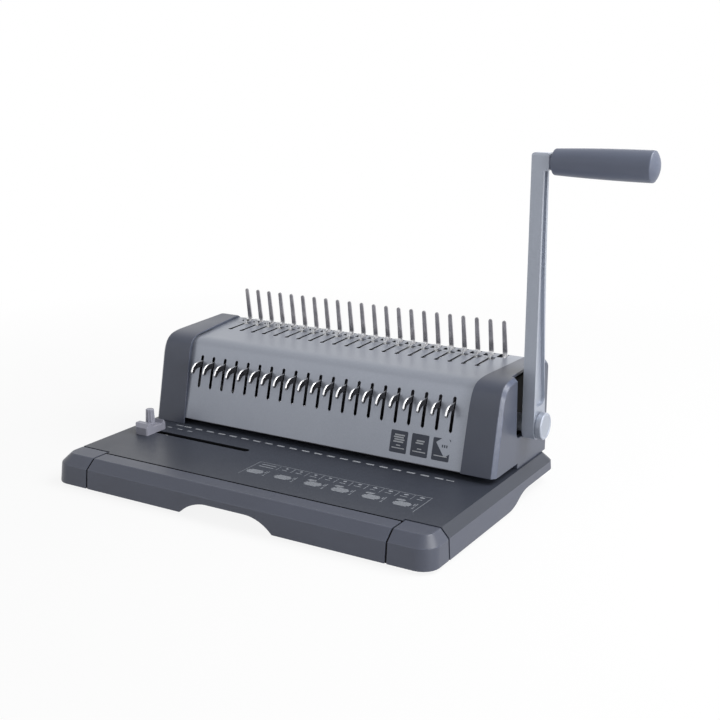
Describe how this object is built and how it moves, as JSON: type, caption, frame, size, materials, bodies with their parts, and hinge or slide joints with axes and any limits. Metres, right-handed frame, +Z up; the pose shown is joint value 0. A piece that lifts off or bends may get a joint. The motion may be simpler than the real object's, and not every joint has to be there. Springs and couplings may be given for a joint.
{
  "type": "comb binding machine",
  "caption": "Manual punch and plastic-comb binding machine: slotted cover with selector pulls, comb tines and hooks on top, crank handle, paper guide and chip drawer in the base.",
  "frame": {"origin": "centre of the whole object's box at the floor, handle included", "axes": "+X to the machine's right along its length, +Y to its back, +Z up"},
  "size_m": [0.5044, 0.2574, 0.3211],
  "materials": {
    "body_grey": "fine satin metallic-grey moulding",
    "end_grey": "fine satin metallic-grey moulding",
    "cover_silver": "satin silver paint on bent sheet",
    "body_paint": "satin grey paint on flat sheet",
    "zinc_steel": "plain zinc-plated steel",
    "tool_steel": "ground tool steel",
    "bright_steel": "polished plated steel",
    "pull_silver": "satin metal plate",
    "black_plastic": "matt black moulding",
    "rubber": "matt black rubber",
    "bronze": "sintered bronze",
    "arm_paint": "satin silver-grey paint on a casting",
    "grip_grey": "satin grey moulding"
  },
  "bodies": {
    "base": {"base_shell": "body_grey", "front_corner_left": "body_grey", "front_corner_right": "body_grey", "end_cover_left": "end_grey", "end_cover_right": "end_grey", "front_cover": "cover_silver", "rear_cover": "body_paint", "bottom_plate": "zinc_steel", "rubber_feet": "rubber", "side_frame_left": "zinc_steel", "side_frame_right": "zinc_steel", "die_plate": "tool_steel", "punch_guide": "tool_steel", "paper_stop": "zinc_steel", "rear_screws": "zinc_steel", "handle_well": "black_plastic", "tine_comb": "bright_steel", "shaft_bushes": "bronze", "tie_rods": "zinc_steel", "hook_rails": "zinc_steel", "guide_posts": "tool_steel", "press_springs": "tool_steel"},
    "handle": {"main_shaft": "tool_steel", "press_pinions": "tool_steel", "hook_sectors": "tool_steel", "shaft_collars": "zinc_steel", "handle_arm": "arm_paint", "pivot_cap": "grip_grey", "handle_grip": "grip_grey", "grip_spindle": "zinc_steel"},
    "press": {"press_bar": "tool_steel", "press_racks": "tool_steel", "punch_pins": "tool_steel"},
    "hooks": {"hook_plate": "bright_steel", "hook_racks": "tool_steel"},
    "drawer": {"chip_drawer": "body_grey"},
    "guide": {"paper_guide": "grip_grey", "guide_nut": "zinc_steel"},
    "knob": {"guide_knob": "grip_grey"},
    "selector_pull_01": {"selector_pull_01": "pull_silver"},
    "selector_pull_02": {"selector_pull_02": "pull_silver"},
    "selector_pull_03": {"selector_pull_03": "pull_silver"},
    "selector_pull_04": {"selector_pull_04": "pull_silver"},
    "selector_pull_05": {"selector_pull_05": "pull_silver"},
    "selector_pull_06": {"selector_pull_06": "pull_silver"},
    "selector_pull_07": {"selector_pull_07": "pull_silver"},
    "selector_pull_08": {"selector_pull_08": "pull_silver"},
    "selector_pull_09": {"selector_pull_09": "pull_silver"},
    "selector_pull_10": {"selector_pull_10": "pull_silver"},
    "selector_pull_11": {"selector_pull_11": "pull_silver"},
    "selector_pull_12": {"selector_pull_12": "pull_silver"},
    "selector_pull_13": {"selector_pull_13": "pull_silver"},
    "selector_pull_14": {"selector_pull_14": "pull_silver"},
    "selector_pull_15": {"selector_pull_15": "pull_silver"},
    "selector_pull_16": {"selector_pull_16": "pull_silver"},
    "selector_pull_17": {"selector_pull_17": "pull_silver"},
    "selector_pull_18": {"selector_pull_18": "pull_silver"},
    "selector_pull_19": {"selector_pull_19": "pull_silver"},
    "selector_pull_20": {"selector_pull_20": "pull_silver"},
    "selector_pull_21": {"selector_pull_21": "pull_silver"}
  },
  "joints": [
    {"name": "handle_swing", "type": "hinge", "parent": "base", "child": "handle", "pos_m": [0.14875, 0.076, 0.0695], "axis": [1, 0, 0], "range_deg": [0, 90], "stiffness_Nm_per_rad": 1.2, "springref_deg": -40.11},
    {"name": "press_stroke", "type": "slide", "parent": "base", "child": "press", "axis": [0, 0, -1], "range_m": [0, 0.0158], "deforming": ["press_springs"]},
    {"name": "hook_stroke", "type": "slide", "parent": "base", "child": "hooks", "axis": [0, -1, 0], "range_m": [0, 0.0252]},
    {"name": "drawer_slide", "type": "slide", "parent": "base", "child": "drawer", "axis": [0, -1, 0], "range_m": [0, 0.15]},
    {"name": "guide_slide", "type": "slide", "parent": "base", "child": "guide", "axis": [1, 0, 0], "range_m": [0, 0.105]},
    {"name": "knob_turn", "type": "hinge", "parent": "guide", "child": "knob", "pos_m": [-0.22075, -0.025, 0.045], "axis": [0, 0, 1], "range_deg": [0, 180]},
    {"name": "pull_01_slide", "type": "slide", "parent": "press", "child": "selector_pull_01", "axis": [0, -1, 0], "range_m": [0, 0.006]},
    {"name": "pull_02_slide", "type": "slide", "parent": "press", "child": "selector_pull_02", "axis": [0, -1, 0], "range_m": [0, 0.006]},
    {"name": "pull_03_slide", "type": "slide", "parent": "press", "child": "selector_pull_03", "axis": [0, -1, 0], "range_m": [0, 0.006]},
    {"name": "pull_04_slide", "type": "slide", "parent": "press", "child": "selector_pull_04", "axis": [0, -1, 0], "range_m": [0, 0.006]},
    {"name": "pull_05_slide", "type": "slide", "parent": "press", "child": "selector_pull_05", "axis": [0, -1, 0], "range_m": [0, 0.006]},
    {"name": "pull_06_slide", "type": "slide", "parent": "press", "child": "selector_pull_06", "axis": [0, -1, 0], "range_m": [0, 0.006]},
    {"name": "pull_07_slide", "type": "slide", "parent": "press", "child": "selector_pull_07", "axis": [0, -1, 0], "range_m": [0, 0.006]},
    {"name": "pull_08_slide", "type": "slide", "parent": "press", "child": "selector_pull_08", "axis": [0, -1, 0], "range_m": [0, 0.006]},
    {"name": "pull_09_slide", "type": "slide", "parent": "press", "child": "selector_pull_09", "axis": [0, -1, 0], "range_m": [0, 0.006]},
    {"name": "pull_10_slide", "type": "slide", "parent": "press", "child": "selector_pull_10", "axis": [0, -1, 0], "range_m": [0, 0.006]},
    {"name": "pull_11_slide", "type": "slide", "parent": "press", "child": "selector_pull_11", "axis": [0, -1, 0], "range_m": [0, 0.006]},
    {"name": "pull_12_slide", "type": "slide", "parent": "press", "child": "selector_pull_12", "axis": [0, -1, 0], "range_m": [0, 0.006]},
    {"name": "pull_13_slide", "type": "slide", "parent": "press", "child": "selector_pull_13", "axis": [0, -1, 0], "range_m": [0, 0.006]},
    {"name": "pull_14_slide", "type": "slide", "parent": "press", "child": "selector_pull_14", "axis": [0, -1, 0], "range_m": [0, 0.006]},
    {"name": "pull_15_slide", "type": "slide", "parent": "press", "child": "selector_pull_15", "axis": [0, -1, 0], "range_m": [0, 0.006]},
    {"name": "pull_16_slide", "type": "slide", "parent": "press", "child": "selector_pull_16", "axis": [0, -1, 0], "range_m": [0, 0.006]},
    {"name": "pull_17_slide", "type": "slide", "parent": "press", "child": "selector_pull_17", "axis": [0, -1, 0], "range_m": [0, 0.006]},
    {"name": "pull_18_slide", "type": "slide", "parent": "press", "child": "selector_pull_18", "axis": [0, -1, 0], "range_m": [0, 0.006]},
    {"name": "pull_19_slide", "type": "slide", "parent": "press", "child": "selector_pull_19", "axis": [0, -1, 0], "range_m": [0, 0.006]},
    {"name": "pull_20_slide", "type": "slide", "parent": "press", "child": "selector_pull_20", "axis": [0, -1, 0], "range_m": [0, 0.006]},
    {"name": "pull_21_slide", "type": "slide", "parent": "press", "child": "selector_pull_21", "axis": [0, -1, 0], "range_m": [0, 0.006]}
  ],
  "couplings": [
    {"joint": "press_stroke", "follows": "handle_swing", "m_per_rad": 0.01},
    {"joint": "hook_stroke", "follows": "handle_swing", "m_per_rad": 0.016}
  ]
}
